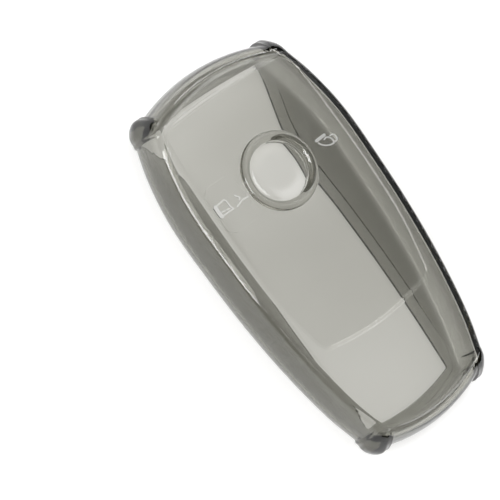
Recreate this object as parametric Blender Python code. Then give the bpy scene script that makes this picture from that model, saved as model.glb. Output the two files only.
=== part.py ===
"""Soft clear cover for a car key fob: a barrel-shaped moulding, open at the back, with three press areas.

X runs across the cover, Y along it towards its broader end, and Z up from the back face to the front.
The origin is the middle of the back face's outline, where the cover rests.
"""

import math

import bmesh
import bpy
import numpy as np

# Overall sizes of the moulding.
LENGTH = 0.0850
WIDTH = 0.0438
HEIGHT = 0.0127
CORNER_RADIUS = 0.0046
BROAD_END_BULGE = 0.0035
NARROW_END_BULGE = 0.0031

# Thicknesses.
WALL = 0.0013
PLATE = 0.0013
LIP = 0.0012

# How far the section draws in from its widest line.
BACK_INSET = 0.0038
BACK_INSET_INSIDE = 0.0017
SHOULDER_SIDE = 0.0019
SHOULDER_END = 0.0043
SHOULDER_SIDE_INSIDE = 0.0017
SHOULDER_END_INSIDE = 0.0031
WIDEST_HEIGHT_SHARE = 0.39

# Thicker pads round the four corners, which stand out most in their middle and more to the ends than
# to the sides.
CORNER_PAD_RAISE_SIDE = 0.0008
CORNER_PAD_RAISE_END = 0.0016
CORNER_PAD_EDGE_SHARE = 0.55
CORNER_PAD_RUN = 0.0006
CORNER_PAD_RAMP = 0.0004

# The raised button panel on the front.
PANEL_RAISE = 0.00035
PANEL_EDGE = 0.0008
PANEL_TOP = 0.0362
PANEL_BOTTOM = 0.0195
PANEL_TOP_BULGE = 0.0009
PANEL_BOTTOM_BULGE = 0.0017
PANEL_CORNER = 0.0030
EMBED = 0.0005

# The round raised rim and the dished disc inside it.
RING_ALONG = 0.0162
RING_RADIUS = 0.0082
RING_HOLE = 0.0062
RING_RAISE = 0.00095
DISC_THICKNESS = 0.0012
DISH_DEPTH = 0.00035

# The press areas at both sides, which reach from the rim to the panel's edge but for a margin.
SIDE_BUTTON_MARGIN = 0.00045
SIDE_BUTTON_HALF_LENGTH = 0.0052
SIDE_BUTTON_CORNER = 0.0022
BUTTON_EDGE = 0.00015
GAP = 0.0003

# The mouth in the back face, with a thinned edge that lets the key fob slip in.
MOUTH_TOP = 0.0377
MOUTH_BOTTOM = 0.0375
MOUTH_TOP_BULGE = 0.0007
MOUTH_BOTTOM_BULGE = 0.0015
MOUTH_CORNER = 0.0006
MOUTH_STEP_WIDTH = 0.0022
MOUTH_STEP_DEPTH = 0.0004
MOUTH_STEP_WALL_CLEARANCE = 0.0001

# How far cutters run past the faces they cut.
OVERRUN = 0.0020

# Points on each part of an outline.
SIDE_POINTS = 15
CORNER_POINTS = 8
END_POINTS = 9
CIRCLE_POINTS = 56
DENSE_POINTS = 600

# Half widths along the cover: (share of half the length, share of half the width).
BODY_WIDTH_SHARES = (
    (-1.00, 0.649),
    (-0.94, 0.671),
    (-0.71, 0.802),
    (-0.42, 0.907),
    (-0.12, 0.969),
    (0.21, 0.996),
    (0.34, 1.000),
    (0.47, 0.991),
    (0.71, 0.914),
    (0.94, 0.776),
    (1.00, 0.747),
)
PANEL_WIDTH_SHARES = (
    (-0.46, 0.639),
    (-0.33, 0.694),
    (-0.12, 0.769),
    (0.12, 0.799),
    (0.38, 0.803),
    (0.56, 0.794),
    (0.73, 0.771),
    (0.86, 0.745),
)
MOUTH_WIDTH_SHARES = (
    (-0.89, 0.508),
    (-0.60, 0.536),
    (-0.25, 0.550),
    (0.05, 0.540),
    (0.35, 0.521),
    (0.55, 0.545),
    (0.68, 0.611),
    (0.78, 0.664),
    (0.89, 0.710),
)

# The section, as (share of the inset, share of the height): up from the back face to the widest line,
# then on to the front.
LOWER_SECTION_SHARES = (
    (1.00, 0.00),
    (0.70, 0.03),
    (0.44, 0.11),
    (0.24, 0.26),
    (0.09, 0.55),
    (0.00, 1.00),
)
UPPER_SECTION_SHARES = (
    (0.04, 0.22),
    (0.13, 0.44),
    (0.27, 0.63),
    (0.38, 0.72),
    (0.55, 0.83),
    (0.80, 0.955),
    (1.00, 1.00),
)

# The rim's section: (share from the hole's edge to the outer edge, share of the rise).
RIM_SECTION_SHARES = (
    (0.00, 0.00),
    (0.14, 0.42),
    (0.32, 0.82),
    (0.52, 1.00),
    (0.72, 0.94),
    (0.90, 0.60),
    (1.00, 0.00),
)

# The dish in the disc: (share of the radius, share of the depth).
DISH_SHARES = ((0.95, 0.08), (0.84, 0.50), (0.68, 0.88), (0.50, 1.00))

FRONT = HEIGHT + PANEL_RAISE
WIDEST_HEIGHT = HEIGHT * WIDEST_HEIGHT_SHARE


def curve_through(shares, at):
    """The smooth curve through a table of shares, read at one or more places."""
    places, values = np.array(shares, float).T
    slopes = np.gradient(values, places)
    at = np.clip(at, places[0], places[-1])
    right = np.clip(np.searchsorted(places, at), 1, len(places) - 1)
    left = right - 1
    span = places[right] - places[left]
    t = (at - places[left]) / span
    ahead = t * t * (3 - 2 * t)
    return (
        values[left] * (1 - ahead)
        + values[right] * ahead
        + slopes[left] * span * t * (1 - t) ** 2
        - slopes[right] * span * t * t * (1 - t)
    )


def half_width(shares, along):
    """Half the width, from a table of shares, at a distance along the cover."""
    return curve_through(shares, np.asarray(along) * 2 / LENGTH) * WIDTH / 2


def normals_of(points):
    """Unit normals that point out of a closed anticlockwise outline."""
    ahead = np.roll(points, -1, axis=0) - points
    behind = points - np.roll(points, 1, axis=0)
    ahead /= np.linalg.norm(ahead, axis=1)[:, None]
    behind /= np.linalg.norm(behind, axis=1)[:, None]
    along = ahead + behind
    along /= np.linalg.norm(along, axis=1)[:, None]
    return np.stack([along[:, 1], -along[:, 0]], axis=1)


def open_normals(points):
    """Unit normals to the right of an open run of points."""
    along = np.gradient(points, axis=0)
    along /= np.linalg.norm(along, axis=1)[:, None]
    return np.stack([along[:, 1], -along[:, 0]], axis=1)


def quarter(shares, end, bulge, radius):
    """A quarter of an outline, from the middle of the side round the corner to the middle of the end.

    end is positive for the broad end and negative for the narrow one. The third column is each point's
    share of the corner pad.
    """
    sign = math.copysign(1, end)
    side_along = np.linspace(0, end, DENSE_POINTS)
    side = np.stack([half_width(shares, side_along), side_along], axis=1)
    reach = float(half_width(shares, end))
    end_across = np.linspace(reach, 0, DENSE_POINTS)
    arc = np.stack([end_across, end - sign * bulge * (end_across / reach) ** 2], axis=1)
    side_out = open_normals(side) * sign
    arc_out = open_normals(arc) * sign
    centres = side - side_out * radius
    away = np.array([np.linalg.norm(arc - centre, axis=1).min() for centre in centres])
    leave = int(np.argmax(away < radius))
    centre = centres[leave]
    join = int(np.argmin(np.linalg.norm(arc - centre, axis=1)))
    first = math.atan2(side_out[leave][1], side_out[leave][0])
    last = math.atan2(arc_out[join][1], arc_out[join][0])
    turn = np.linspace(first, last, CORNER_POINTS)
    corner = centre + radius * np.stack([np.cos(turn), np.sin(turn)], axis=1)
    pad = 1 - (1 - CORNER_PAD_EDGE_SHARE) * np.linspace(-1, 1, CORNER_POINTS) ** 4
    side_rows = np.linspace(0, leave, SIDE_POINTS).astype(int)[:-1]
    end_rows = np.linspace(join, DENSE_POINTS - 1, END_POINTS).astype(int)[1:]
    return np.concatenate(
        [
            np.insert(side[side_rows], 2, 0, axis=1),
            np.column_stack([corner, pad]),
            np.insert(arc[end_rows], 2, 0, axis=1),
        ]
    )


def outline(shares, broad_end, narrow_end, broad_bulge, narrow_bulge, radius):
    """A closed anticlockwise outline with mirrored sides, and each point's share of a corner pad."""
    up = quarter(shares, broad_end, broad_bulge, radius)
    down = quarter(shares, -narrow_end, narrow_bulge, radius)
    mirror = np.array([-1, 1, 1])
    left_up = up[::-1][1:] * mirror
    left_down = down[1:] * mirror
    right_down = down[::-1][1:-1]
    rows = np.concatenate([up, left_up, left_down, right_down])
    return rows[:, :2], rows[:, 2]


def body_outline():
    end = LENGTH / 2
    return outline(BODY_WIDTH_SHARES, end, end, BROAD_END_BULGE, NARROW_END_BULGE, CORNER_RADIUS)


def with_corner_pads(points, pad):
    """The outline with close points where the corner pads start and stop, and each point's pad share."""
    found, raised = [], []
    for i, point in enumerate(points):
        after = (i + 1) % len(points)
        found.append(point)
        raised.append(pad[i])
        run = points[after] - point
        length = np.linalg.norm(run)
        if pad[i] > 0 and pad[after] == 0:
            stops = ((CORNER_PAD_RUN, pad[i]), (CORNER_PAD_RUN + CORNER_PAD_RAMP, 0))
        elif pad[after] > 0 and pad[i] == 0:
            stops = ((length - CORNER_PAD_RUN - CORNER_PAD_RAMP, 0), (length - CORNER_PAD_RUN, pad[after]))
        else:
            stops = ()
        for way, share in stops:
            found.append(point + run * way / length)
            raised.append(share)
    return np.array(found), np.array(raised)


def inset_loop(points, out, side_inset, end_inset, height):
    """The outline moved in, by one amount at the sides and another at the ends, at a height."""
    moved = points - out * np.array([side_inset, end_inset])
    return np.column_stack([moved, np.full(len(points), height)])


def section_rows(low, high, back_inset, side_inset, end_inset, wall):
    """Rows of (side inset, end inset, height, pad share) up a section between two heights."""
    rows = []
    for inset, rise in LOWER_SECTION_SHARES:
        back = wall + inset * back_inset
        height = low + rise * (WIDEST_HEIGHT - low)
        rows.append((back, back, height, min(1.0, 2 * rise)))
    for inset, rise in UPPER_SECTION_SHARES:
        height = WIDEST_HEIGHT + rise * (high - WIDEST_HEIGHT)
        pad = min(1.0, 1.5 * (1 - rise))
        rows.append((wall + inset * side_inset, wall + inset * end_inset, height, pad))
    return rows


def new_object(name, mesh_maker):
    """An object of that name with the mesh that mesh_maker puts in a bmesh."""
    made = bmesh.new()
    mesh_maker(made)
    if made.calc_volume(signed=True) < 0:
        bmesh.ops.reverse_faces(made, faces=made.faces)
    mesh = bpy.data.meshes.new(name)
    made.to_mesh(mesh)
    made.free()
    thing = bpy.data.objects.new(name, mesh)
    bpy.context.scene.collection.objects.link(thing)
    return thing


def loft(name, loops):
    """A closed solid through loops of as many points each, with a flat face at both ends."""

    def fill(made):
        rows = [[made.verts.new(point) for point in loop] for loop in loops]
        count = len(rows[0])
        for lower, upper in zip(rows, rows[1:]):
            for i in range(count):
                j = (i + 1) % count
                made.faces.new((lower[i], lower[j], upper[j], upper[i]))
        made.faces.new(rows[0][::-1])
        made.faces.new(rows[-1])

    return new_object(name, fill)


def turned_ring(name, section, centre):
    """A ring turned from a closed section of (radius, height) about an upright axis."""

    def fill(made):
        rows = []
        for i in range(CIRCLE_POINTS):
            angle = math.tau * i / CIRCLE_POINTS
            rows.append(
                [
                    made.verts.new((centre[0] + r * math.cos(angle), centre[1] + r * math.sin(angle), z))
                    for r, z in section
                ]
            )
        for i in range(CIRCLE_POINTS):
            here, there = rows[i], rows[(i + 1) % CIRCLE_POINTS]
            for j in range(len(section)):
                k = (j + 1) % len(section)
                made.faces.new((here[j], there[j], there[k], here[k]))

    return new_object(name, fill)


def circle(radius, height):
    """A loop of points round the origin."""
    angles = np.linspace(0, math.tau, CIRCLE_POINTS, endpoint=False)
    heights = np.full(CIRCLE_POINTS, height)
    return np.column_stack([radius * np.cos(angles), radius * np.sin(angles), heights])


def rounded_rectangle(half_width_across, half_length, radius, height):
    """A loop round the origin with rounded corners."""
    turns = np.linspace(0, math.tau / 4, CORNER_POINTS)
    loop = []
    for i, (x, y) in enumerate(((1, 1), (-1, 1), (-1, -1), (1, -1))):
        for turn in turns + i * math.tau / 4:
            loop.append(
                (
                    x * (half_width_across - radius) + radius * math.cos(turn),
                    y * (half_length - radius) + radius * math.sin(turn),
                    height,
                )
            )
    return np.array(loop)


def moved(loops, across, along, up):
    """Loops shifted to a place."""
    return [loop + np.array([across, along, up]) for loop in loops]


def combine(target, tool, operation):
    """Joins tool to target or cuts it out, and keeps the tool out of the finished cover."""
    modifier = target.modifiers.new(tool.name, "BOOLEAN")
    modifier.operation = operation
    modifier.solver = "EXACT"
    modifier.object = tool
    tool.hide_render = True
    tool.display_type = "WIRE"


def clear_material(name, colour, roughness):
    """A clear tinted plastic."""
    material = bpy.data.materials.new(name)
    material.use_nodes = True
    shader = material.node_tree.nodes["Principled BSDF"]
    shader.inputs["Base Color"].default_value = (*colour, 1)
    shader.inputs["Roughness"].default_value = roughness
    shader.inputs["Metallic"].default_value = 0
    shader.inputs["Transmission Weight"].default_value = 0.85
    return material


def shade_smooth(thing):
    for face in thing.data.polygons:
        face.use_smooth = True


def outer_solid():
    """The outside of the moulding as a solid: back face, bulging walls, corner pads, shoulder and front."""
    points, raised = with_corner_pads(*body_outline())
    out = normals_of(points)
    swelling = out * np.array([CORNER_PAD_RAISE_SIDE, CORNER_PAD_RAISE_END]) * raised[:, None]
    rows = section_rows(0, HEIGHT, BACK_INSET, SHOULDER_SIDE, SHOULDER_END, 0)
    loops = []
    for side_inset, end_inset, height, pad in rows:
        loops.append(inset_loop(points + swelling * pad, out, side_inset, end_inset, height))
    return loft("shell", loops)


def cavity_solid():
    """The space inside, a wall's thickness in from the outside."""
    points, _ = body_outline()
    out = normals_of(points)
    rows = section_rows(
        LIP, HEIGHT - PLATE, BACK_INSET_INSIDE, SHOULDER_SIDE_INSIDE, SHOULDER_END_INSIDE, WALL
    )
    loops = [inset_loop(points, out, side, end, height) for side, end, height, _ in rows]
    return loft("cavity_cutter", loops)


def panel_solid():
    """The button panel: a low plateau with a sloping edge."""
    points, _ = outline(
        PANEL_WIDTH_SHARES, PANEL_TOP, PANEL_BOTTOM, PANEL_TOP_BULGE, PANEL_BOTTOM_BULGE, PANEL_CORNER
    )
    out = normals_of(points)
    return loft(
        "panel_tool",
        [
            inset_loop(points, out, 0, 0, HEIGHT - EMBED),
            inset_loop(points, out, 0, 0, HEIGHT),
            inset_loop(points, out, PANEL_EDGE, PANEL_EDGE, FRONT),
        ],
    )


def rim_solid():
    """The raised rim: a rounded crest that slopes in to the disc."""
    breadth = RING_RADIUS - RING_HOLE
    section = [(RING_HOLE + out * breadth, FRONT + up * RING_RAISE) for out, up in RIM_SECTION_SHARES]
    section.append((RING_RADIUS, FRONT - EMBED))
    section.append((RING_HOLE, FRONT - EMBED))
    return turned_ring("rim_tool", section, (0, RING_ALONG))


def mouth_cutter(name, grow, low, high):
    """The mouth in the back face, or with grow the wider step round it."""
    points, _ = outline(
        MOUTH_WIDTH_SHARES, MOUTH_TOP, MOUTH_BOTTOM, MOUTH_TOP_BULGE, MOUTH_BOTTOM_BULGE, MOUTH_CORNER
    )
    out = normals_of(points)
    return loft(name, [inset_loop(points, out, -grow, -grow, height) for height in (low, high)])


def mouth_step_cutter():
    """The wider, shallow step round the mouth, which ends where the floor meets the wall."""
    step = mouth_cutter("mouth_step_cutter", MOUTH_STEP_WIDTH, LIP - MOUTH_STEP_DEPTH, LIP + OVERRUN)
    points, _ = body_outline()
    out = normals_of(points)
    inset = WALL + BACK_INSET_INSIDE + MOUTH_STEP_WALL_CLEARANCE
    heights = (LIP - OVERRUN, LIP + OVERRUN + OVERRUN)
    floor = loft("mouth_step_limit", [inset_loop(points, out, inset, inset, height) for height in heights])
    combine(step, floor, "INTERSECT")
    return step


def side_button_span():
    """How far out the middle of a side press area lies, and half its width."""
    narrowest = float(half_width(PANEL_WIDTH_SHARES, RING_ALONG + SIDE_BUTTON_HALF_LENGTH))
    inner = RING_RADIUS + SIDE_BUTTON_MARGIN
    outer = narrowest - PANEL_EDGE - SIDE_BUTTON_MARGIN
    return (inner + outer) / 2, (outer - inner) / 2


def side_button_loops(grow, low, high, edge):
    """Loops of a side press area, grown on all sides, with its top edge eased by edge."""
    width = side_button_span()[1] + grow
    length = SIDE_BUTTON_HALF_LENGTH + grow
    radius = SIDE_BUTTON_CORNER + grow
    loops = [rounded_rectangle(width, length, radius, low)]
    if edge:
        loops.append(rounded_rectangle(width, length, radius, high - edge))
    loops.append(rounded_rectangle(width - edge, length - edge, radius - edge, high))
    return loops


def build_shell(material):
    """The moulding: outside, panel and rim joined, then cavity, mouth and press areas cut out."""
    shell = outer_solid()
    combine(shell, panel_solid(), "UNION")
    combine(shell, rim_solid(), "UNION")
    combine(shell, cavity_solid(), "DIFFERENCE")
    combine(shell, mouth_cutter("mouth_cutter", 0, -OVERRUN, LIP + OVERRUN), "DIFFERENCE")
    combine(shell, mouth_step_cutter(), "DIFFERENCE")
    low, high = HEIGHT - PLATE - OVERRUN, FRONT + OVERRUN
    disc_hole = moved([circle(RING_HOLE, low), circle(RING_HOLE, high)], 0, RING_ALONG, 0)
    combine(shell, loft("disc_hole_cutter", disc_hole), "DIFFERENCE")
    side_hole = side_button_loops(GAP, low, high, 0)
    out, _ = side_button_span()
    for name, across in (("boot_hole_cutter", -out), ("lock_hole_cutter", out)):
        combine(shell, loft(name, moved(side_hole, across, RING_ALONG, 0)), "DIFFERENCE")
    shade_smooth(shell)
    shell.data.materials.append(material)
    return shell


def build_side_button(name, sign, material):
    """A press area beside the rim, as thick as the plate and panel, its origin amid its front face."""
    button = loft(name, side_button_loops(0, -PLATE - PANEL_RAISE, 0, BUTTON_EDGE))
    button.location = (sign * side_button_span()[0], RING_ALONG, FRONT)
    button.data.materials.append(material)
    return button


def build_centre_button(material):
    """The dished disc inside the rim, with its origin in the middle of its front face."""
    radius = RING_HOLE - GAP
    loops = [circle(radius, -DISC_THICKNESS), circle(radius, -BUTTON_EDGE), circle(radius - BUTTON_EDGE, 0)]
    loops += [circle(share * radius, -depth * DISH_DEPTH) for share, depth in DISH_SHARES]
    button = loft("centre_button", loops)
    button.location = (0, RING_ALONG, FRONT)
    shade_smooth(button)
    button.data.materials.append(material)
    return button


def main():
    for thing in list(bpy.data.objects):
        bpy.data.objects.remove(thing)
    smoke = clear_material("smoke_soft_plastic", (0.36, 0.36, 0.34), 0.08)
    press = clear_material("smoke_press_area", (0.40, 0.40, 0.38), 0.10)
    build_shell(smoke)
    build_side_button("boot_button", -1, press)
    build_side_button("lock_button", 1, press)
    build_centre_button(press)


main()
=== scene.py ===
"""Soft clear key fob cover in smoke grey, with its press areas, laid on a pale floor.

X runs across the cover, Y along it towards its broader end, and Z up from the open back to the front.
"""

import math

import bmesh
import bpy
import numpy as np
from bpy.props import FloatProperty, FloatVectorProperty, PointerProperty
from mathutils import Matrix, Vector
from mathutils.geometry import delaunay_2d_cdt


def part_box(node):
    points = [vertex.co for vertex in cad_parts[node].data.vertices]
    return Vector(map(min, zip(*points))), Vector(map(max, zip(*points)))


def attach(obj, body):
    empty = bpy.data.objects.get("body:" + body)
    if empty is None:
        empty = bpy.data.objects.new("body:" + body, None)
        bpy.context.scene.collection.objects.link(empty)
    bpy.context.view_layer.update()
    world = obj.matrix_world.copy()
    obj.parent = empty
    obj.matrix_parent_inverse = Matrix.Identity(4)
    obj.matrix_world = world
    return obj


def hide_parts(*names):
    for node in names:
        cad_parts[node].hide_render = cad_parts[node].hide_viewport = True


bl_info = {
    "name": "Clear Key Fob Cover",
    "version": (1, 0, 0),
    "blender": (4, 5, 0),
    "location": "View3D > Sidebar > Cover",
    "description": "Builds a clear smoke-grey key fob cover with its press areas and a plain studio",
    "category": "Add Mesh",
}

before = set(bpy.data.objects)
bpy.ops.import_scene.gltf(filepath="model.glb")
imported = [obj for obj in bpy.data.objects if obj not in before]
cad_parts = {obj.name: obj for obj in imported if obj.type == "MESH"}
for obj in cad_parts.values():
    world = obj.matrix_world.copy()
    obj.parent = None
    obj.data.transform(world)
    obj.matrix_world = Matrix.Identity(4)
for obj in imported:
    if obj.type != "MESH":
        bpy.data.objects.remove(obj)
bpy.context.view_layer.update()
SHELL_LOW, SHELL_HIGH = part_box("shell")
DISC_LOW, DISC_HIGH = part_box("centre_button")
BOOT_LOW, BOOT_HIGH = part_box("boot_button")
LOCK_LOW, LOCK_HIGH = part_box("lock_button")

LENGTH = SHELL_HIGH.y - SHELL_LOW.y
WIDTH = SHELL_HIGH.x - SHELL_LOW.x
FRONT = DISC_HIGH.z
RIM_RAISE = SHELL_HIGH.z - FRONT
RIM_ALONG = (DISC_LOW.y + DISC_HIGH.y) / 2

# Half widths along the cover: (share of half the length, share of half the width).
BODY_WIDTH_SHARES = (
    (-1.00, 0.649),
    (-0.94, 0.671),
    (-0.71, 0.802),
    (-0.42, 0.907),
    (-0.12, 0.969),
    (0.21, 0.996),
    (0.34, 1.000),
    (0.47, 0.991),
    (0.71, 0.914),
    (0.94, 0.776),
    (1.00, 0.747),
)
PANEL_WIDTH_SHARES = (
    (-0.46, 0.639),
    (-0.33, 0.694),
    (-0.12, 0.769),
    (0.12, 0.799),
    (0.38, 0.803),
    (0.56, 0.794),
    (0.73, 0.771),
    (0.86, 0.745),
)
MOUTH_WIDTH_SHARES = (
    (-0.89, 0.508),
    (-0.60, 0.536),
    (-0.25, 0.550),
    (0.05, 0.540),
    (0.35, 0.521),
    (0.55, 0.545),
    (0.68, 0.611),
    (0.78, 0.664),
    (0.89, 0.710),
)

# The section, as (share of the inset, share of the height): up from the back face to the widest line,
# then on to the front. The first and last rows lie flat.
LOWER_SECTION_SHARES = (
    (1.06, 0.00),
    (1.00, 0.00),
    (0.70, 0.03),
    (0.44, 0.11),
    (0.24, 0.26),
    (0.09, 0.55),
    (0.00, 1.00),
)
UPPER_SECTION_SHARES = (
    (0.035, 0.22),
    (0.11, 0.44),
    (0.22, 0.63),
    (0.32, 0.74),
    (0.43, 0.825),
    (0.55, 0.892),
    (0.68, 0.942),
    (0.81, 0.976),
    (0.92, 0.995),
    (1.00, 1.00),
    (1.06, 1.00),
)
WIDEST_HEIGHT_SHARE = 0.39

# How fast a corner pad rises from the back face, and falls off towards the front, along the section.
PAD_LOWER_RISE = 2
PAD_UPPER_FALL = 1.25

# How much of a corner pad's rise is left at its ends.
PAD_EDGE_SHARE = 0.55

# The panel's edge, as (share of its breadth, share of its rise).
PANEL_EDGE_SHARES = (
    (-0.30, 0.00),
    (-0.09, 0.00),
    (-0.04, 0.02),
    (0.03, 0.08),
    (0.17, 0.30),
    (0.24, 0.37),
    (0.32, 0.40),
    (0.68, 0.60),
    (0.76, 0.63),
    (0.83, 0.70),
    (0.97, 0.92),
    (1.04, 0.98),
    (1.09, 1.00),
    (1.30, 1.00),
)

# The rim, as (share from its outer foot to the hole's edge, share of its rise).
RIM_SECTION_SHARES = (
    (-0.12, 0.00),
    (-0.03, 0.00),
    (0.03, 0.12),
    (0.12, 0.62),
    (0.28, 0.94),
    (0.48, 1.00),
    (0.68, 0.82),
    (0.86, 0.42),
    (0.98, 0.10),
)

# The dish in the disc: (share of the radius, share of the depth).
DISH_SHARES = (
    (0.985, 0.00),
    (0.95, 0.08),
    (0.84, 0.50),
    (0.68, 0.88),
    (0.50, 1.00),
    (0.25, 1.00),
)

# The pictograms as strokes: shares of a press area's half width and half length, from its middle.
BOOT_STROKE_SHARES = (
    ((-0.96, 0.22), (-0.27, 0.28), (-0.18, 0.20), (-0.17, -0.08), (-0.08, -0.20)),
    ((-0.08, -0.20), (-0.96, -0.20), (-0.96, 0.22)),
    ((-0.72, -0.06), (-0.56, -0.08)),
    ((-0.44, -0.10), (-0.26, -0.11)),
    ((0.36, 0.19), (0.56, 0.01), (0.42, -0.05)),
    ((0.14, -0.22), (0.58, -0.11), (0.95, -0.14)),
)
BOOT_BAR_SHARES = ((-0.86, 0.24), (-0.86, -0.22))
LOCK_STROKE_SHARES = (
    ((-0.52, 0.00), (-0.42, -0.12), (-0.24, -0.23), (0.02, -0.31), (0.22, -0.32), (0.29, -0.26)),
    ((0.29, -0.26), (0.26, -0.13), (0.16, -0.02), (0.02, 0.03), (-0.12, 0.00)),
    ((0.30, 0.00), (0.46, -0.02), (0.54, -0.10), (0.54, -0.24), (0.44, -0.31), (0.34, -0.30)),
)
LOCK_BAR_SHARES = ((-0.54, 0.12), (0.02, 0.14))

# Points on a circle, on a press area's corner, on a stroke's round end and on a line that is laid out.
CIRCLE_POINTS = 144
CORNER_POINTS = 18
CAP_POINTS = 7
DENSE_POINTS = 900
# Rows in each span of a section, and the angle from which on an edge is sharp.
SPAN_ROWS = 4
SHARP_ANGLE = math.radians(40)
# The rounding of a stroke's top edge, as a share of its height.
STROKE_EDGE_SHARE = 0.25

# How far apart the points of an outline lie: in its wide runs, in its corners and where a pad ends.
WIDE_SPACING = 0.0008
CORNER_SPACING = 0.00035
STEP_SPACING = 0.00008

# How close loops may come to a loop that holds them back, and how much their spacing shrinks there.
PANEL_CLEARANCE, PANEL_SQUEEZE = 0.00015, 0.35
MOUTH_CLEARANCE, MOUTH_SQUEEZE = 0.00008, 0.08
# How far the feet of the walls keep from the mouth, how much more with each row above, and in how many.
FOOT_CLEARANCE = 0.00045
FOOT_STEP = 0.00003
FOOT_ROWS = 16

# How often folds are smoothed, and the least step there, as a share of the outline's own.
UNFOLD_TRIES = 400
LEAST_STEP = 0.02

# The mouth's rounded edges, in shares of the rounding: the last row of the flat, where the rounding
# starts, and where its middle lies. The second row is for the foot of the mouth's step.
EDGE_AWAY, EDGE_START, EDGE_CUT = 3, 1.3, 0.3
STEP_AWAY, STEP_START, STEP_CUT = 2, 0.8, 0.2

# How level faces are filled: in millimetres, only inside the outer loop, telling points this far apart.
FILL_SCALE = 1000
FILL_INSIDE = 1
FILL_NEAR = 1e-6

# Marks on faces that the plastic reads: where two pieces meet, and where it is left rough.
SEAM = "seam"
ROUGH = "rough"

WHITE = (1, 1, 1, 1)

# The plastic's dulled patches and mould waves: noise as (scale, detail), and how much of it counts.
DULL_NOISE = (170, 5)
DULL_RANGE = (0.45, 0.75)
WAVE_NOISE = (90, 2)
WAVE_STRENGTH = 0.06
WAVE_HEIGHT = 0.0001
# Between which amounts a surface counts as seen at a slant, and between which heights a wall turns into
# the front: where the painted shade on slants and walls sets in.
SLANT_RANGE = (0.40, 0.95)
WALL_RANGE = (FRONT * 0.70, FRONT * 0.88)
# What is left of the lamps' light behind each surface of the plastic.
LAMPLIGHT_LEFT = (0.95, 0.95, 0.95, 1)

# The surround: between which heights of a direction it gets lighter, and how strong it is there.
SKY_HEIGHTS = (0.25, 0.85)
SKY_STRENGTHS = (0.03, 0.60)
# The soft glow in it that the flat front mirrors, and how far from its middle it starts and is full.
GLOW_DIRECTION = (0.40, 0.33, 0.86)
GLOW_STRENGTH = 3.6
GLOW_ANGLES = (math.radians(19), math.radians(8))

# The lamps: name, place, length and breadth in metres, and power in watts.
LAMPS = (
    ("left_softbox", (-0.64, 0.14, 0.34), 0.44, 0.26, 4.6),
    ("upper_left_strip", (-0.50, 0.05, 0.56), 0.55, 0.05, 0.6),
    ("right_strip", (0.56, 0.00, 0.47), 0.50, 0.08, 0.8),
    ("narrow_end_strip", (0.31, -0.56, 0.36), 0.40, 0.12, 0.7),
    ("broad_end_strip", (0.31, 0.60, 0.28), 0.40, 0.07, 0.6),
)

FLOOR_ROUGHNESS = 0.9

# The camera's sensor in millimetres, and where its view starts and ends, as shares of its distance.
SENSOR_WIDTH = 36
VIEW_START_SHARE = 0.05
VIEW_END_SHARE = 50


def length(name, description, default):
    """A size in metres."""
    words = {"name": name, "description": description}
    return FloatProperty(**words, default=default, min=0, unit="LENGTH", precision=5)


def colour(name, description, default):
    """A colour."""
    words = {"name": name, "description": description}
    return FloatVectorProperty(**words, default=default, min=0, max=1, size=3, subtype="COLOR")


def factor(name, description, default):
    """An amount from 0 to 1."""
    words = {"name": name, "description": description}
    return FloatProperty(**words, default=default, min=0, max=1, subtype="FACTOR")


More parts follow.
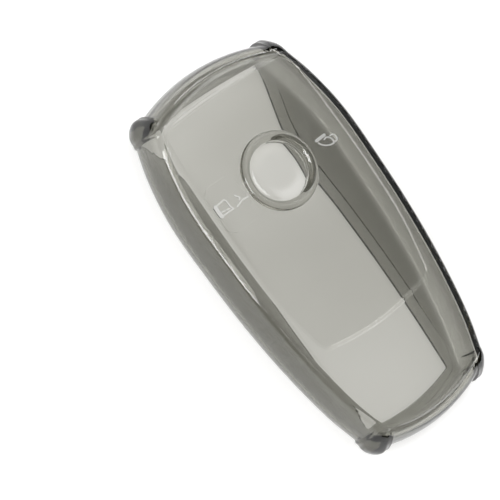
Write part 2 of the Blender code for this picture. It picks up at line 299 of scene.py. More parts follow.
class CoverSizes(bpy.types.PropertyGroup):
    """Sizes of the moulding and its press areas."""

    wall: length("Wall", "Thickness of the side walls", 0.0013)
    plate: length("Plate", "Thickness of the front plate", 0.0013)
    lip: length("Lip", "Thickness of the lips round the open back", 0.0012)
    corner_radius: length("Corner Radius", "Radius of the four corners", 0.0046)
    broad_end_bulge: length("Broad End Bulge", "How far the middle of the broad end bows out", 0.0035)
    narrow_end_bulge: length("Narrow End Bulge", "How far the middle of that end bows out", 0.0031)
    back_inset: length("Back Inset", "How far the walls draw in to the back", 0.0038)
    back_inset_inside: length("Inner Back Inset", "How far the hollow draws in to the back", 0.0017)
    shoulder_side: length("Side Shoulder", "How far the sides draw in to the front", 0.0022)
    shoulder_end: length("End Shoulder", "How far the ends draw in to the front", 0.0043)
    shoulder_side_inside: length("Inner Side Shoulder", "How far the hollow's sides draw in", 0.0017)
    shoulder_end_inside: length("Inner End Shoulder", "How far the hollow's ends draw in", 0.0031)
    pad_raise_side: length("Pad Raise at Sides", "How far the pads stand out to the sides", 0.0008)
    pad_raise_end: length("Pad Raise at Ends", "How far the pads stand out to the ends", 0.0016)
    pad_run: length("Pad Run", "How far the corner pads run on past the corners", 0.0006)
    pad_ramp: length("Pad Ramp", "Length of the step at a corner pad's end", 0.0004)
    panel_raise: length("Panel Raise", "Height of the raised button panel", 0.00035)
    panel_edge: length("Panel Edge", "Breadth of the panel's sloping edge", 0.0008)
    panel_top: length("Panel Top", "Where the panel ends towards the broad end", 0.0362)
    panel_bottom: length("Panel Bottom", "Where the panel ends towards the narrow end", 0.0195)
    panel_top_bulge: length("Panel Top Bulge", "Bow of its edge at the broad end", 0.0009)
    panel_bottom_bulge: length("Panel Bottom Bulge", "Bow of its edge at the narrow end", 0.0017)
    panel_corner: length("Panel Corner", "Radius of the panel's corners", 0.0030)
    rim_radius: length("Rim Radius", "Outer radius of the raised rim", 0.0082)
    hole_radius: length("Disc Radius", "Radius of the disc inside the rim", 0.0062)
    dish_depth: length("Dish Depth", "Depth of the dish in the disc", 0.00035)
    mouth_top: length("Mouth Top", "Where the mouth ends towards the broad end", 0.0377)
    mouth_bottom: length("Mouth Bottom", "Where the mouth ends towards the narrow end", 0.0375)
    mouth_top_bulge: length("Mouth Top Bulge", "Bow of its edge at the broad end", 0.0007)
    mouth_bottom_bulge: length("Mouth Bottom Bulge", "Bow of its edge at the narrow end", 0.0015)
    mouth_corner: length("Mouth Corner", "Radius of the mouth's corners", 0.0006)
    mouth_step_width: length("Mouth Step Width", "Breadth of the thinned edge round the mouth", 0.0022)
    mouth_step_depth: length("Mouth Step Depth", "Depth of the thinned edge round the mouth", 0.0004)
    press_corner: length("Press Area Corner", "Radius of the side press areas' corners", 0.0022)
    seam: length("Seam", "Gap round the press areas", 0.00002)
    edge: length("Edge Rounding", "Rounding of the small edges", 0.0001)
    stroke_width: length("Stroke Width", "Breadth of the pictograms' strokes", 0.00034)
    bar_width: length("Bar Width", "Breadth of the pictograms' thick bars", 0.0007)
    stroke_raise: length("Stroke Raise", "Height of the pictograms' strokes", 0.00022)


class CoverFinish(bpy.types.PropertyGroup):
    """Colours and gloss of the plastic, with its painted shade."""

    tint: colour("Tint", "Colour that a thick piece of the plastic lets through", (0.5, 0.495, 0.445))
    # Painted shade: faces seen at a slant let through this dark colour, as painted dark outlines.
    painted_edge_shade: colour("Edge Tint", "Colour let through where it is seen at a slant", (0.14, 0.14, 0.14))
    # Painted shade: the walls and lips let through this darker colour than the front.
    painted_wall_shade: colour("Wall Tint", "Colour let through by the walls and lips", (0.72, 0.72, 0.70))
    density: FloatProperty(
        name="Depth of Tint",
        description="How fast the plastic takes up light, per metre",
        default=660,
        min=0,
    )
    refraction: FloatProperty(
        name="Refraction",
        description="Index of refraction of the plastic",
        default=1.49,
        min=1,
        max=2,
    )
    smooth_roughness: factor("Polished", "Roughness where the mould was polished best", 0.015)
    dull_roughness: factor("Handled", "Roughness where handling has dulled the plastic", 0.05)
    rough_strokes: factor("Rough Strokes", "How much rougher the pictograms' strokes are left", 0.35)
    milky_strokes: factor("Milky Strokes", "How milky the rough strokes look", 0.28)


class StudioSettings(bpy.types.PropertyGroup):
    """Floor, light and camera."""

    floor_colour: colour("Floor", "Colour of the floor", (0.93, 0.93, 0.93))
    floor_lift: FloatProperty(
        name="Floor Lift",
        description="How much lighter the floor looks, also through the cover and in its gloss",
        default=0.25,
        min=0,
    )
    floor_size: length("Floor Size", "Half the length of the floor's sides", 3.0)
    floor_gap: length("Floor Gap", "How far the floor lies below the back face", 0.00003)
    turn: FloatVectorProperty(
        name="Camera Turn",
        description="Turn of the cover as the camera sees it, about X, Y and Z",
        subtype="EULER",
        size=3,
        default=(math.radians(0.38), math.radians(23.84), math.radians(35.14)),
    )
    shift_across: FloatProperty(
        name="Shift Across",
        description="How far the cover's origin lies right of the middle of the view",
        default=0.01071,
        unit="LENGTH",
    )
    shift_up: FloatProperty(
        name="Shift Up",
        description="How far the cover's origin lies above the middle of the view",
        default=-0.00064,
        unit="LENGTH",
    )
    distance: length("Camera Distance", "Distance from the camera to the cover's origin", 0.4078)
    lens: FloatProperty(
        name="Lens",
        description="Focal length of the camera, in millimetres",
        default=145.4,
        min=1,
    )


def curve_through(shares, at):
    """The smooth curve through a table of shares, read at one or more places."""
    places, values = np.array(shares, float).T
    slopes = np.gradient(values, places)
    at = np.clip(at, places[0], places[-1])
    right = np.clip(np.searchsorted(places, at), 1, len(places) - 1)
    left = right - 1
    span = places[right] - places[left]
    t = (at - places[left]) / span
    ahead = t * t * (3 - 2 * t)
    return (
        values[left] * (1 - ahead)
        + values[right] * ahead
        + slopes[left] * span * t * (1 - t) ** 2
        - slopes[right] * span * t * t * (1 - t)
    )


def rows_through(knots, per_span=SPAN_ROWS):
    """Rows along the smooth curve that passes through knots."""
    knots = np.array(knots, float)
    padded = np.vstack([2 * knots[0] - knots[1], knots, 2 * knots[-1] - knots[-2]])
    rows = []
    for a, b, c, d in zip(padded, padded[1:], padded[2:], padded[3:]):
        for t in np.arange(per_span) / per_span:
            bend = (2 * a - 5 * b + 4 * c - d) * t * t + (3 * b - a - 3 * c + d) * t**3
            rows.append(b + ((c - a) * t + bend) / 2)
    rows.append(knots[-1])
    return np.array(rows)


def half_width(shares, along):
    """Half the width, from a table of shares, at a distance along the cover."""
    return curve_through(shares, np.asarray(along) * 2 / LENGTH) * WIDTH / 2


def level(points, height):
    """Points of an outline at a height."""
    return np.column_stack([points, np.full(len(points), height)])


def unit_normals(along):
    """Unit normals to the right of directions."""
    along = along / np.linalg.norm(along, axis=1)[:, None]
    return np.stack([along[:, 1], -along[:, 0]], axis=1)


def normals_of(points):
    """Unit normals that point out of a closed anticlockwise outline."""
    ahead = np.roll(points, -1, axis=0) - points
    behind = points - np.roll(points, 1, axis=0)
    ahead /= np.linalg.norm(ahead, axis=1)[:, None]
    behind /= np.linalg.norm(behind, axis=1)[:, None]
    return unit_normals(ahead + behind)


def lengths_of(points):
    """Distance of each point from the first one, along an open line of points."""
    return np.insert(np.cumsum(np.linalg.norm(np.diff(points, axis=0), axis=1)), 0, 0)


def quarter(shares, end, bulge, radius, spacing=WIDE_SPACING, pad_end=0):
    """A quarter of an outline, from the middle of the side round the corner to the middle of the end.

    end is positive for the broad end and negative for the narrow one. The third column is the distance
    from the corner, along the outline, and the fourth the place in the corner, from -1 to 1. The points
    lie close in the corner and where a pad ends.
    """
    sign = math.copysign(1, end)
    side_along = np.linspace(0, end, DENSE_POINTS)
    side = np.stack([half_width(shares, side_along), side_along], axis=1)
    reach = float(half_width(shares, end))
    end_across = np.linspace(reach, 0, DENSE_POINTS)
    arc = np.stack([end_across, end - sign * bulge * (end_across / reach) ** 2], axis=1)
    side_out = unit_normals(np.gradient(side, axis=0)) * sign
    arc_out = unit_normals(np.gradient(arc, axis=0)) * sign
    centres = side - side_out * radius
    away = np.array([np.linalg.norm(arc - centre, axis=1).min() for centre in centres])
    leave = int(np.argmax(away < radius))
    centre = centres[leave]
    join = int(np.argmin(np.linalg.norm(arc - centre, axis=1)))
    first = math.atan2(side_out[leave][1], side_out[leave][0])
    last = math.atan2(arc_out[join][1], arc_out[join][0])
    turn = np.linspace(first, last, DENSE_POINTS)
    corner = centre + radius * np.stack([np.cos(turn), np.sin(turn)], axis=1)
    line = np.concatenate([side[:leave], corner, arc[join + 1 :]])
    way = lengths_of(line)
    start, stop = way[leave], way[leave + DENSE_POINTS - 1]
    away = np.maximum(np.maximum(start - way, way - stop), 0)
    steps = np.where(away > CORNER_SPACING, spacing, CORNER_SPACING)
    if pad_end:
        steps = np.where(np.abs(away - pad_end) < CORNER_SPACING, STEP_SPACING, steps)
    counted = np.insert(np.cumsum(np.diff(way) / steps[1:]), 0, 0)
    at = np.interp(np.linspace(0, counted[-1], math.ceil(counted[-1]) + 1), counted, way)
    turned = np.clip((way - (start + stop) / 2) * 2 / (stop - start), -1, 1)
    return np.column_stack([np.interp(at, way, column) for column in (*line.T, away, turned)])


def outline(shares, ends, bulges, radius, spacing=WIDE_SPACING, pad_end=0):
    """A closed anticlockwise outline with mirrored sides, from the places and bulges of its two ends.

    Gives back its points, how far each is from a corner, and its place in the corner.
    """
    up = quarter(shares, ends[0], bulges[0], radius, spacing, pad_end)
    down = quarter(shares, -ends[1], bulges[1], radius, spacing, pad_end)
    mirror = np.array([-1, 1, 1, 1])
    rows = np.concatenate([up, up[::-1][1:] * mirror, down[1:] * mirror, down[::-1][1:-1]])
    return rows[:, :2], rows[:, 2], rows[:, 3]


def body_outline(sizes):
    """The cover's own outline, and how far up the corner pads each of its points lies."""
    ends = LENGTH / 2, LENGTH / 2
    bulges = sizes.broad_end_bulge, sizes.narrow_end_bulge
    step = sizes.pad_run + sizes.pad_ramp / 2
    points, away, turned = outline(BODY_WIDTH_SHARES, ends, bulges, sizes.corner_radius, pad_end=step)
    share = np.clip((sizes.pad_run + sizes.pad_ramp - away) / sizes.pad_ramp, 0, 1)
    crest = 1 - (1 - PAD_EDGE_SHARE) * turned**4
    return points, share * share * (3 - 2 * share) * crest


def unfolded(loop, outline):
    """A loop moved from an outline, with the folds smoothed out of it."""
    along = np.roll(outline, -1, axis=0) - outline
    for _ in range(UNFOLD_TRIES):
        steps = np.roll(loop, -1, axis=0) - loop
        folded = (steps * along).sum(axis=1) <= LEAST_STEP * (along**2).sum(axis=1)
        if not folded.any():
            break
        moving = folded | np.roll(folded, 1)
        around = (np.roll(loop, 1, axis=0) + np.roll(loop, -1, axis=0)) / 2
        loop = np.where(moving[:, None], around, loop)
    return loop


def room_along(points, ways, limit):
    """How far each point can go its way before it meets a closed loop. It is negative past the loop."""
    ahead = np.roll(limit, -1, axis=0) - limit
    room = []
    for point, way in zip(points, ways):
        gap = limit - point
        turn = way[0] * ahead[:, 1] - way[1] * ahead[:, 0]
        share = (gap[:, 0] * way[1] - gap[:, 1] * way[0]) / turn
        far = (gap[:, 0] * ahead[:, 1] - gap[:, 1] * ahead[:, 0]) / turn
        met = far[(share >= 0) & (share <= 1)]
        room.append(met[np.abs(met).argmin()] if len(met) else WIDTH)
    return np.array(room)


def nested_loops(points, limit, rows, clearance, squeeze):
    """Loops of an outline, grown and set at heights by rows, all within a limit and none crossing."""
    out = normals_of(points)
    room = room_along(points, out, limit)
    widest = max(grow for grow, height in rows)
    loops = []
    for grow, height in rows:
        held = room - clearance - squeeze * (widest - grow)
        loops.append(level(points + out * np.minimum(grow, held)[:, None], height))
    return loops


def section_rows(sizes, low, high, back, side, end, wall):
    """Rows of (side inset, end inset, height, pad share) up a section between two heights."""
    front_plane = FRONT - sizes.panel_raise
    widest = front_plane * WIDEST_HEIGHT_SHARE
    knots = []
    for inset, rise in LOWER_SECTION_SHARES:
        drawn = wall + inset * back
        knots.append((drawn, drawn, low + rise * (widest - low), min(1.0, PAD_LOWER_RISE * rise)))
    for inset, rise in UPPER_SECTION_SHARES:
        height = widest + rise * (high - widest)
        pad = min(1.0, PAD_UPPER_FALL * (1 - rise))
        knots.append((wall + inset * side, wall + inset * end, height, pad))
    return rows_through(knots)


def wall_loops(points, out, swelling, rows, room):
    """Loops up a wall's section. At its foot they go no further in than there is room."""
    loops = []
    for i, (side, end, height, pad) in enumerate(rows):
        inset = out * np.array([side, end])
        if i < FOOT_ROWS:
            inset = out * np.minimum(side, room - FOOT_CLEARANCE - i * FOOT_STEP)[:, None]
        loops.append(level(unfolded(points + swelling * max(pad, 0) - inset, points), height))
    return loops


def circle(centre, radius, height):
    """A level circle of points."""
    angles = np.linspace(0, math.tau, CIRCLE_POINTS, endpoint=False)
    across, along = centre[0] + radius * np.cos(angles), centre[1] + radius * np.sin(angles)
    return level(np.column_stack([across, along]), height)


def rounded_rectangle(centre, half_across, half_along, radius, height):
    """A level rectangle of points with rounded corners."""
    turns = np.linspace(0, math.tau / 4, CORNER_POINTS)
    loop = []
    for i, (x, y) in enumerate(((1, 1), (-1, 1), (-1, -1), (1, -1))):
        for turn in turns + i * math.tau / 4:
            across = centre[0] + x * (half_across - radius) + radius * math.cos(turn)
            along = centre[1] + y * (half_along - radius) + radius * math.sin(turn)
            loop.append((across, along, height))
    return np.array(loop)


def surrounds(loop, place):
    """Whether a closed loop of points goes round a place."""
    x, y = (loop - place).T
    after_x, after_y = np.roll(x, -1), np.roll(y, -1)
    crossing = (y > 0) != (after_y > 0)
    rise = np.where(crossing, after_y - y, 1)
    return np.count_nonzero(crossing & (x - y * (after_x - x) / rise > 0)) % 2 == 1


class Skin:
    """A closed surface in the making: bands between loops of points, and flat faces between loops."""

    def __init__(self):
        self.mesh = bmesh.new()
        self.seams = self.mesh.faces.layers.float.new(SEAM)

    def bands(self, loops, seam=False):
        """Bands through loops of as many points each. Gives back the first and the last loop's corners.

        A seam is where two pieces of the one moulding meet, which the eye doesn't see.
        """
        rows = [[self.mesh.verts.new(point) for point in loop] for loop in loops]
        count = len(rows[0])
        for lower, upper in zip(rows, rows[1:]):
            for i in range(count):
                j = (i + 1) % count
                face = self.mesh.faces.new((lower[i], lower[j], upper[j], upper[i]))
                face[self.seams] = float(seam)
        return rows[0], rows[-1]

    def join(self, first, second):
        """One band between two loops of corners."""
        for i in range(len(first)):
            j = (i + 1) % len(first)
            self.mesh.faces.new((first[i], first[j], second[j], second[i]))

    def flat(self, outer, *holes):
        """A level face between an outer loop of corners and the holes in it."""
        corners, edges = [], []
        for loop in (outer, *holes):
            start = len(corners)
            corners += loop
            edges += [(start + i, start + (i + 1) % len(loop)) for i in range(len(loop))]
        places = [corner.co.xy * FILL_SCALE for corner in corners]
        _, _, faces, sources, _, _ = delaunay_2d_cdt(places, edges, [], FILL_INSIDE, FILL_NEAR)
        rings = [np.array([corner.co.xy for corner in hole]) for hole in holes]
        for face in faces:
            around = [corners[sources[i][0]] for i in face]
            middle = sum((corner.co.xy for corner in around), Vector((0, 0))) / len(around)
            if not any(surrounds(ring, middle) for ring in rings):
                self.mesh.faces.new(around)

    def made(self, name):
        """The finished surface as an object, its faces pointing out."""
        bmesh.ops.recalc_face_normals(self.mesh, faces=self.mesh.faces)
        if self.mesh.calc_volume(signed=True) < 0:
            bmesh.ops.reverse_faces(self.mesh, faces=self.mesh.faces)
        data = bpy.data.meshes.new(name)
        self.mesh.to_mesh(data)
        self.mesh.free()
        return placed(name, shaded(data))


def shaded(data):
    """A mesh, shaded smooth but for its sharp edges."""
    data.shade_smooth()
    data.set_sharp_from_angle(angle=SHARP_ANGLE)
    return data


def placed(name, data):
    """An object of that name in the scene."""
    thing = bpy.data.objects.new(name, data)
    bpy.context.scene.collection.objects.link(thing)
    return thing


def press_area(low, high):
    """Centre, half width and half length of a side press area."""
    centre = ((low.x + high.x) / 2, (low.y + high.y) / 2)
    return centre, (high.x - low.x) / 2, (high.y - low.y) / 2


def press_loop(low, high, sizes, grow, height):
    """The level outline of a side press area, grown by an amount."""
    centre, across, along = press_area(low, high)
    return rounded_rectangle(centre, across + grow, along + grow, sizes.press_corner + grow, height)


def build_moulding(sizes):
    """The moulding with its hollow, mouth, panel and rim as one closed surface."""
    front_plane = FRONT - sizes.panel_raise
    ceiling = front_plane - sizes.plate
    skin = Skin()

    ends = sizes.mouth_top, sizes.mouth_bottom
    bulges = sizes.mouth_top_bulge, sizes.mouth_bottom_bulge
    mouth, _, _ = outline(MOUTH_WIDTH_SHARES, ends, bulges, sizes.mouth_corner, CORNER_SPACING)
    points, raised = body_outline(sizes)
    out = normals_of(points)
    swelling = out * np.array([sizes.pad_raise_side, sizes.pad_raise_end]) * raised[:, None]
    shoulder = sizes.shoulder_side, sizes.shoulder_end
    rows = section_rows(sizes, 0, front_plane, sizes.back_inset, *shoulder, 0)
    room = room_along(points, -out, mouth)
    outer = wall_loops(points, out, swelling, rows, room)
    back_foot, front_edge = skin.bands(outer)

    shoulder = sizes.shoulder_side_inside, sizes.shoulder_end_inside
    rows = section_rows(sizes, sizes.lip, ceiling, sizes.back_inset_inside, *shoulder, sizes.wall)
    inner = wall_loops(points, out, np.zeros_like(out), rows, room)
    hollow_foot, hollow_top = skin.bands(inner)

    edge = sizes.edge
    floor = sizes.lip - sizes.mouth_step_depth
    step = sizes.mouth_step_width
    away, start, cut = EDGE_AWAY * edge, EDGE_START * edge, EDGE_CUT * edge
    step_away, step_start, step_cut = STEP_AWAY * edge, STEP_START * edge, STEP_CUT * edge
    mouth_rows = (
        (away, 0),
        (start, 0),
        (cut, cut),
        (0, start),
        (0, floor - start),
        (cut, floor - cut),
        (start, floor),
        (away, floor),
        (step - step_away, floor),
        (step - step_start, floor),
        (step - step_cut, floor + step_cut),
        (step, floor + step_start),
        (step, sizes.lip - start),
        (step + cut, sizes.lip - cut),
        (step + start, sizes.lip),
        (step + away, sizes.lip),
    )
    mouth_loops = nested_loops(mouth, inner[0][:, :2], mouth_rows, MOUTH_CLEARANCE, MOUTH_SQUEEZE)
    mouth_back, mouth_inside = skin.bands(mouth_loops)
    skin.flat(back_foot, mouth_back)
    skin.flat(hollow_foot, mouth_inside)

    ends = sizes.panel_top, sizes.panel_bottom
    bulges = sizes.panel_top_bulge, sizes.panel_bottom_bulge
    panel, _, _ = outline(PANEL_WIDTH_SHARES, ends, bulges, sizes.panel_corner)
    breadth, rise = sizes.panel_edge, sizes.panel_raise
    panel_rows = [(-across * breadth, front_plane + up * rise) for across, up in PANEL_EDGE_SHARES]
    panel_loops = nested_loops(panel, outer[-1][:, :2], panel_rows, PANEL_CLEARANCE, PANEL_SQUEEZE)
    panel_foot, panel_top = skin.bands(panel_loops)
    skin.flat(front_edge, panel_foot)

    centre = (0, RIM_ALONG)
    hole = sizes.hole_radius
    rim_breadth = sizes.rim_radius - hole
    rim = [
        circle(centre, sizes.rim_radius - across * rim_breadth, FRONT + up * RIM_RAISE)
        for across, up in rows_through(RIM_SECTION_SHARES)
    ]
    rim_foot, hole_top = skin.bands(rim)
    hole_rows = [circle(centre, hole, FRONT), circle(centre, hole, ceiling)]
    hole_edge, hole_bottom = skin.bands(hole_rows, seam=True)
    skin.join(hole_top, hole_edge)

    press_tops, press_bottoms = [], []
    for low, high in ((BOOT_LOW, BOOT_HIGH), (LOCK_LOW, LOCK_HIGH)):
        loops = [press_loop(low, high, sizes, sizes.seam, z) for z in (FRONT, ceiling)]
        top, bottom = skin.bands(loops, seam=True)
        press_tops.append(top)
        press_bottoms.append(bottom)
    skin.flat(panel_top, rim_foot, *press_tops)
    skin.flat(hollow_top, hole_bottom, *press_bottoms)
    return skin.made("cover_moulding")


def build_disc(sizes):
    """The dished disc inside the rim."""
    skin = Skin()
    centre = (0, RIM_ALONG)
    radius = sizes.hole_radius - sizes.seam
    edge = sizes.edge
    underside = [circle(centre, radius - 2 * edge, DISC_LOW.z), circle(centre, radius, DISC_LOW.z)]
    bottom, side_low = skin.bands(underside)
    side = [circle(centre, radius, DISC_LOW.z + edge), circle(centre, radius, FRONT - edge)]
    side_bottom, side_top = skin.bands(side, seam=True)
    dish = [circle(centre, radius, FRONT - edge / 2)]
    for out, down in rows_through(DISH_SHARES):
        dish.append(circle(centre, out * radius, FRONT - down * sizes.dish_depth))
    dish_edge, dish_middle = skin.bands(dish)
    skin.join(side_low, side_bottom)
    skin.join(side_top, dish_edge)
    skin.flat(bottom)
    skin.flat(dish_middle)
    return skin.made("centre_disc")


def capsule(start, end, width, low, high, edge):
    """A short raised stroke with round ends, as a closed solid."""
    start, end = np.array(start), np.array(end)
    heading = math.atan2(end[1] - start[1], end[0] - start[0])
    skin = Skin()
    loops = []
    for radius, height in ((width / 2, low), (width / 2, high - edge), (width / 2 - edge, high)):
        loop = []
        for place, first in ((end, heading - math.tau / 4), (start, heading + math.tau / 4)):
            for turn in np.linspace(first, first + math.tau / 2, CAP_POINTS):
                across, along = radius * math.cos(turn), radius * math.sin(turn)
                loop.append((place[0] + across, place[1] + along, height))
        loops.append(loop)
    bottom, top = skin.bands(loops)
    skin.flat(bottom)
    skin.flat(top)
    return skin.made("stroke")


def joined(target, tools):
    """target with tools joined to it as one closed solid. The tools are used up."""
    for tool in tools:
        modifier = target.modifiers.new("join", "BOOLEAN")
        modifier.operation = "UNION"
        modifier.solver = "EXACT"
        modifier.object = tool
    result = target.evaluated_get(bpy.context.evaluated_depsgraph_get())
    whole = bpy.data.meshes.new_from_object(result)
    target.modifiers.clear()
    target.data = shaded(whole)
    for tool in tools:
        bpy.data.objects.remove(tool)
    return target


def build_press_plate(name, low, high, strokes, bar, sizes):
    """A side press area with its pictogram standing proud of it."""
    ceiling = FRONT - sizes.panel_raise - sizes.plate
    skin = Skin()
    top, bottom = skin.bands([press_loop(low, high, sizes, 0, z) for z in (FRONT, ceiling)], seam=True)
    skin.flat(top)
    skin.flat(bottom)
    plate = skin.made(name)
    centre, across, along = press_area(low, high)

    def at(shares):
        return (centre[0] + shares[0] * across, centre[1] + shares[1] * along)

    raised = FRONT + sizes.stroke_raise
    root = FRONT - sizes.stroke_raise
    edge = sizes.stroke_raise * STROKE_EDGE_SHARE
    tools = []
    for stroke in strokes:
        for start, end in zip(stroke, stroke[1:]):
            tools.append(capsule(at(start), at(end), sizes.stroke_width, root, raised, edge))
    tools.append(capsule(at(bar[0]), at(bar[1]), sizes.bar_width, root, raised, edge))
    whole = joined(plate, tools)
    rough = whole.data.attributes.new(ROUGH, "FLOAT", "FACE")
    for face in whole.data.polygons:
        rough.data[face.index].value = float(face.center.z > FRONT + edge / 2)
    return whole


def feed(tree, value, socket):
    """Sets a socket to a value, or links it where the value is another node's output."""
    if isinstance(value, bpy.types.NodeSocket):
        tree.links.new(value, socket)
    else:
        socket.default_value = value


def noise(tree, place, scale, detail):
    """Noise that varies from place to place."""
    node = tree.nodes.new("ShaderNodeTexNoise")
    node.inputs["Scale"].default_value = scale
    node.inputs["Detail"].default_value = detail
    tree.links.new(place, node.inputs["Vector"])
    return node.outputs["Fac"]


def mark_of(tree, mark):
    """A mark that the faces carry, from 0 to 1."""
    node = tree.nodes.new("ShaderNodeAttribute")
    node.attribute_name = mark
    return node.outputs["Fac"]


def reckoned(tree, operation, *values):
    """The result of a sum, each of its values a number or another node's output."""
    node = tree.nodes.new("ShaderNodeMath")
    node.operation = operation
    for value, socket in zip(values, node.inputs):
        feed(tree, value, socket)
    return node.outputs["Value"]


def spread(tree, value, given, wanted=(0, 1), interpolation="SMOOTHSTEP"):
    """A value taken from a given range to the wanted one."""
    node = tree.nodes.new("ShaderNodeMapRange")
    node.interpolation_type = interpolation
    node.inputs["From Min"].default_value, node.inputs["From Max"].default_value = given
    node.inputs["To Min"].default_value, node.inputs["To Max"].default_value = wanted
    tree.links.new(value, node.inputs["Value"])
    return node.outputs["Result"]


def blended(tree, amount, first, second):
    """Two colours blended by an amount, each a colour or another node's output."""
    node = tree.nodes.new("ShaderNodeMixRGB")
    for value, name in ((amount, "Fac"), (first, "Color1"), (second, "Color2")):
        feed(tree, value, node.inputs[name])
    return node.outputs["Color"]


def layered(tree, amount, first, second):
    """Two shaders mixed by an amount."""
    node = tree.nodes.new("ShaderNodeMixShader")
    for value, socket in zip((amount, first, second), node.inputs):
        tree.links.new(value, socket)
    return node.outputs["Shader"]


def see_through(tree, kept):
    """A surface that light passes straight through, and the colour that it keeps."""
    node = tree.nodes.new("ShaderNodeBsdfTransparent")
    node.inputs["Color"].default_value = kept
    return node.outputs["BSDF"]


def clear_plastic(name, finish):
    """Clear tinted plastic: slightly wavy from the mould, its gloss dulled in places by handling, with
    painted shade on its walls and slants.
    """
    material = bpy.data.materials.new(name)
    material.use_nodes = True
    tree = material.node_tree
    nodes, links = tree.nodes, tree.links
    shader = nodes["Principled BSDF"]
    output = nodes["Material Output"]
    place = nodes.new("ShaderNodeTexCoord").outputs["Object"]

    shader.inputs["IOR"].default_value = finish.refraction
    wear = noise(tree, place, *DULL_NOISE)
    gloss = finish.smooth_roughness, finish.dull_roughness
    dullness = spread(tree, wear, DULL_RANGE, gloss, "LINEAR")
    strokes = mark_of(tree, ROUGH)
    roughness = reckoned(tree, "MULTIPLY_ADD", strokes, finish.rough_strokes, dullness)
    links.new(roughness, shader.inputs["Roughness"])
    clearness = reckoned(tree, "MULTIPLY_ADD", strokes, -finish.milky_strokes, 1)
    links.new(clearness, shader.inputs["Transmission Weight"])

    # Painted shade: the walls and lips let through a darker colour than the front, as if thicker, and
    # what is seen at a slant is darker still, as painted dark outlines.
    parts = nodes.new("ShaderNodeSeparateXYZ")
    links.new(place, parts.inputs["Vector"])
    front = spread(tree, parts.outputs["Z"], WALL_RANGE)
    painted_shade = blended(tree, front, (*finish.painted_wall_shade, 1), WHITE)
    # Painted shade: darker towards the outlines, by how slanted the view is.
    slant = spread(tree, nodes.new("ShaderNodeLayerWeight").outputs["Facing"], SLANT_RANGE)
    painted_shade = blended(tree, slant, painted_shade, (*finish.painted_edge_shade, 1))
    links.new(painted_shade, shader.inputs["Base Color"])

    bump = nodes.new("ShaderNodeBump")
    bump.inputs["Strength"].default_value = WAVE_STRENGTH
    bump.inputs["Distance"].default_value = WAVE_HEIGHT
    links.new(noise(tree, place, *WAVE_NOISE), bump.inputs["Height"])
    links.new(bump.outputs["Normal"], shader.inputs["Normal"])

    # Lamplight passes straight through. Where two pieces of the one moulding meet, so does everything.
    path = nodes.new("ShaderNodeLightPath")
    lit = reckoned(tree, "MAXIMUM", path.outputs["Is Shadow Ray"], path.outputs["Is Diffuse Ray"])
    plastic = layered(tree, lit, shader.outputs["BSDF"], see_through(tree, LAMPLIGHT_LEFT))
    whole = layered(tree, mark_of(tree, SEAM), plastic, see_through(tree, WHITE))
    links.new(whole, output.inputs["Surface"])

    depth = nodes.new("ShaderNodeVolumeAbsorption")
    depth.inputs["Color"].default_value = (*finish.tint, 1)
    depth.inputs["Density"].default_value = finish.density
    links.new(depth.outputs["Volume"], output.inputs["Volume"])
    return material


def dress(thing, finish, body, slot, *nodes):
    """Gives a piece its plastic, ties it to the body, and hides the nodes that it stands for."""
    thing.data.materials.clear()
    thing.data.materials.append(clear_plastic(thing.name + "_plastic", finish))
    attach(thing, body)
    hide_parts(*nodes)


def build_floor(studio):
    """A plain pale floor, just under the back face."""
    half = studio.floor_size
    mesh = bpy.data.meshes.new("floor")
    corners = [(-half, -half, 0), (half, -half, 0), (half, half, 0), (-half, half, 0)]
    mesh.from_pydata(corners, [], [(0, 1, 2, 3)])
    floor = placed("floor", mesh)
    floor.location.z = -studio.floor_gap
    material = bpy.data.materials.new("floor_paper")
    material.use_nodes = True
    tree = material.node_tree
    shader = tree.nodes["Principled BSDF"]
    shader.inputs["Base Color"].default_value = (*studio.floor_colour, 1)
    shader.inputs["Roughness"].default_value = FLOOR_ROUGHNESS
    shader.inputs["Specular IOR Level"].default_value = 0
    shader.inputs["Emission Color"].default_value = WHITE
    path = tree.nodes.new("ShaderNodeLightPath").outputs
    seen = reckoned(tree, "MAXIMUM", path["Is Camera Ray"], path["Is Transmission Ray"])
    seen = reckoned(tree, "MAXIMUM", seen, path["Is Glossy Ray"])
    lift = reckoned(tree, "MULTIPLY", seen, studio.floor_lift)
    tree.links.new(lift, shader.inputs["Emission Strength"])
    mesh.materials.append(material)


def add_lamp(name, place, size, breadth, power):
    """A soft rectangular lamp at a place, turned to the cover."""
    data = bpy.data.lights.new(name, "AREA")
    data.shape = "RECTANGLE"
    data.size = size
    data.size_y = breadth
    data.energy = power
    lamp = placed(name, data)
    lamp.location = place
    lamp.rotation_euler = (-Vector(place)).to_track_quat("-Z", "Y").to_euler()


def build_world():
    """A surround, darker towards the horizon, with a soft glow above, and white to the camera."""
    world = bpy.data.worlds.new("studio")
    bpy.context.scene.world = world
    world.use_nodes = True
    tree = world.node_tree
    nodes, links = tree.nodes, tree.links
    background = nodes["Background"]
    background.inputs["Color"].default_value = WHITE
    place = nodes.new("ShaderNodeTexCoord").outputs["Generated"]
    parts = nodes.new("ShaderNodeSeparateXYZ")
    links.new(place, parts.inputs["Vector"])
    sky = spread(tree, parts.outputs["Z"], SKY_HEIGHTS, SKY_STRENGTHS)
    toward = nodes.new("ShaderNodeVectorMath")
    toward.operation = "DOT_PRODUCT"
    toward.inputs[1].default_value = Vector(GLOW_DIRECTION).normalized()
    links.new(place, toward.inputs[0])
    near = [math.cos(angle) for angle in GLOW_ANGLES]
    glow = spread(tree, toward.outputs["Value"], near, (0, GLOW_STRENGTH))
    path = nodes.new("ShaderNodeLightPath")
    bright = reckoned(tree, "MAXIMUM", reckoned(tree, "ADD", sky, glow), path.outputs["Is Camera Ray"])
    links.new(bright, background.inputs["Strength"])


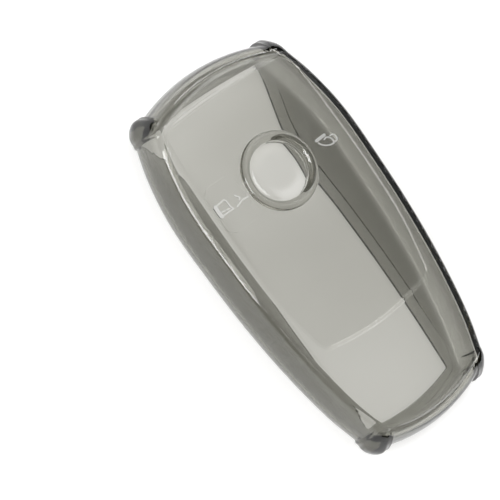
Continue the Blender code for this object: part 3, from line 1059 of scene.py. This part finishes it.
def build_camera(studio):
    """The camera at the photograph's viewing angle."""
    across, tilt, roll = studio.turn
    rolled = Matrix.Rotation(roll, 3, "Z") @ Matrix.Rotation(across, 3, "X")
    seen = rolled @ Matrix.Rotation(tilt, 3, "Y")
    offset = Vector((studio.shift_across, studio.shift_up, -studio.distance))
    back = seen.transposed()
    data = bpy.data.cameras.new("camera")
    data.lens = studio.lens
    data.sensor_width = SENSOR_WIDTH
    data.clip_start = studio.distance * VIEW_START_SHARE
    data.clip_end = studio.distance * VIEW_END_SHARE
    camera = placed("camera", data)
    camera.matrix_world = Matrix.Translation(back @ -offset) @ back.to_4x4()
    bpy.context.scene.camera = camera


class COVER_OT_moulding(bpy.types.Operator):
    """Build the clear moulding"""

    bl_idname = "cover.moulding"
    bl_label = "Moulding"

    def execute(self, context):
        scene = context.scene
        dress(build_moulding(scene.cover_sizes), scene.cover_finish, "cover", "shell", "shell")
        return {"FINISHED"}


class COVER_OT_centre_disc(bpy.types.Operator):
    """Build the dished disc inside the rim"""

    bl_idname = "cover.centre_disc"
    bl_label = "Centre Disc"

    def execute(self, context):
        scene = context.scene
        disc = build_disc(scene.cover_sizes)
        dress(disc, scene.cover_finish, "centre_button", "press_areas", "centre_button")
        return {"FINISHED"}


class COVER_OT_press_plates(bpy.types.Operator):
    """Build the two side press areas with their pictograms"""

    bl_idname = "cover.press_plates"
    bl_label = "Side Press Areas"

    def execute(self, context):
        scene = context.scene
        sizes = scene.cover_sizes
        boot_place, lock_place = (BOOT_LOW, BOOT_HIGH), (LOCK_LOW, LOCK_HIGH)
        boot = build_press_plate("boot_plate", *boot_place, BOOT_STROKE_SHARES, BOOT_BAR_SHARES, sizes)
        dress(boot, scene.cover_finish, "boot_button", "press_areas", "boot_button")
        lock = build_press_plate("lock_plate", *lock_place, LOCK_STROKE_SHARES, LOCK_BAR_SHARES, sizes)
        dress(lock, scene.cover_finish, "lock_button", "press_areas", "lock_button")
        return {"FINISHED"}


class COVER_OT_stage(bpy.types.Operator):
    """Set up the floor, the light and the camera"""

    bl_idname = "cover.stage"
    bl_label = "Floor, Light and Camera"

    def execute(self, context):
        studio = context.scene.cover_studio
        build_floor(studio)
        build_world()
        for lamp in LAMPS:
            add_lamp(*lamp)
        build_camera(studio)
        context.scene.view_settings.view_transform = "Standard"
        return {"FINISHED"}


class COVER_PT_panel(bpy.types.Panel):
    """The cover's pieces"""

    bl_idname = "COVER_PT_panel"
    bl_label = "Key Fob Cover"
    bl_space_type = "VIEW_3D"
    bl_region_type = "UI"
    bl_category = "Cover"

    def draw(self, context):
        for step in STEPS:
            self.layout.operator(step.bl_idname)


STEPS = (COVER_OT_moulding, COVER_OT_centre_disc, COVER_OT_press_plates, COVER_OT_stage)
GROUPS = {"cover_sizes": CoverSizes, "cover_finish": CoverFinish, "cover_studio": StudioSettings}


def register():
    for group in GROUPS.values():
        bpy.utils.register_class(group)
    for name, group in GROUPS.items():
        setattr(bpy.types.Scene, name, PointerProperty(type=group))
    for step in STEPS:
        bpy.utils.register_class(step)
    bpy.utils.register_class(COVER_PT_panel)


def unregister():
    bpy.utils.unregister_class(COVER_PT_panel)
    for step in reversed(STEPS):
        bpy.utils.unregister_class(step)
    for name, group in reversed(GROUPS.items()):
        delattr(bpy.types.Scene, name)
        bpy.utils.unregister_class(group)


def main():
    register()
    bpy.ops.cover.moulding()
    bpy.ops.cover.centre_disc()
    bpy.ops.cover.press_plates()
    bpy.ops.cover.stage()


if __name__ == "__main__":
    main()
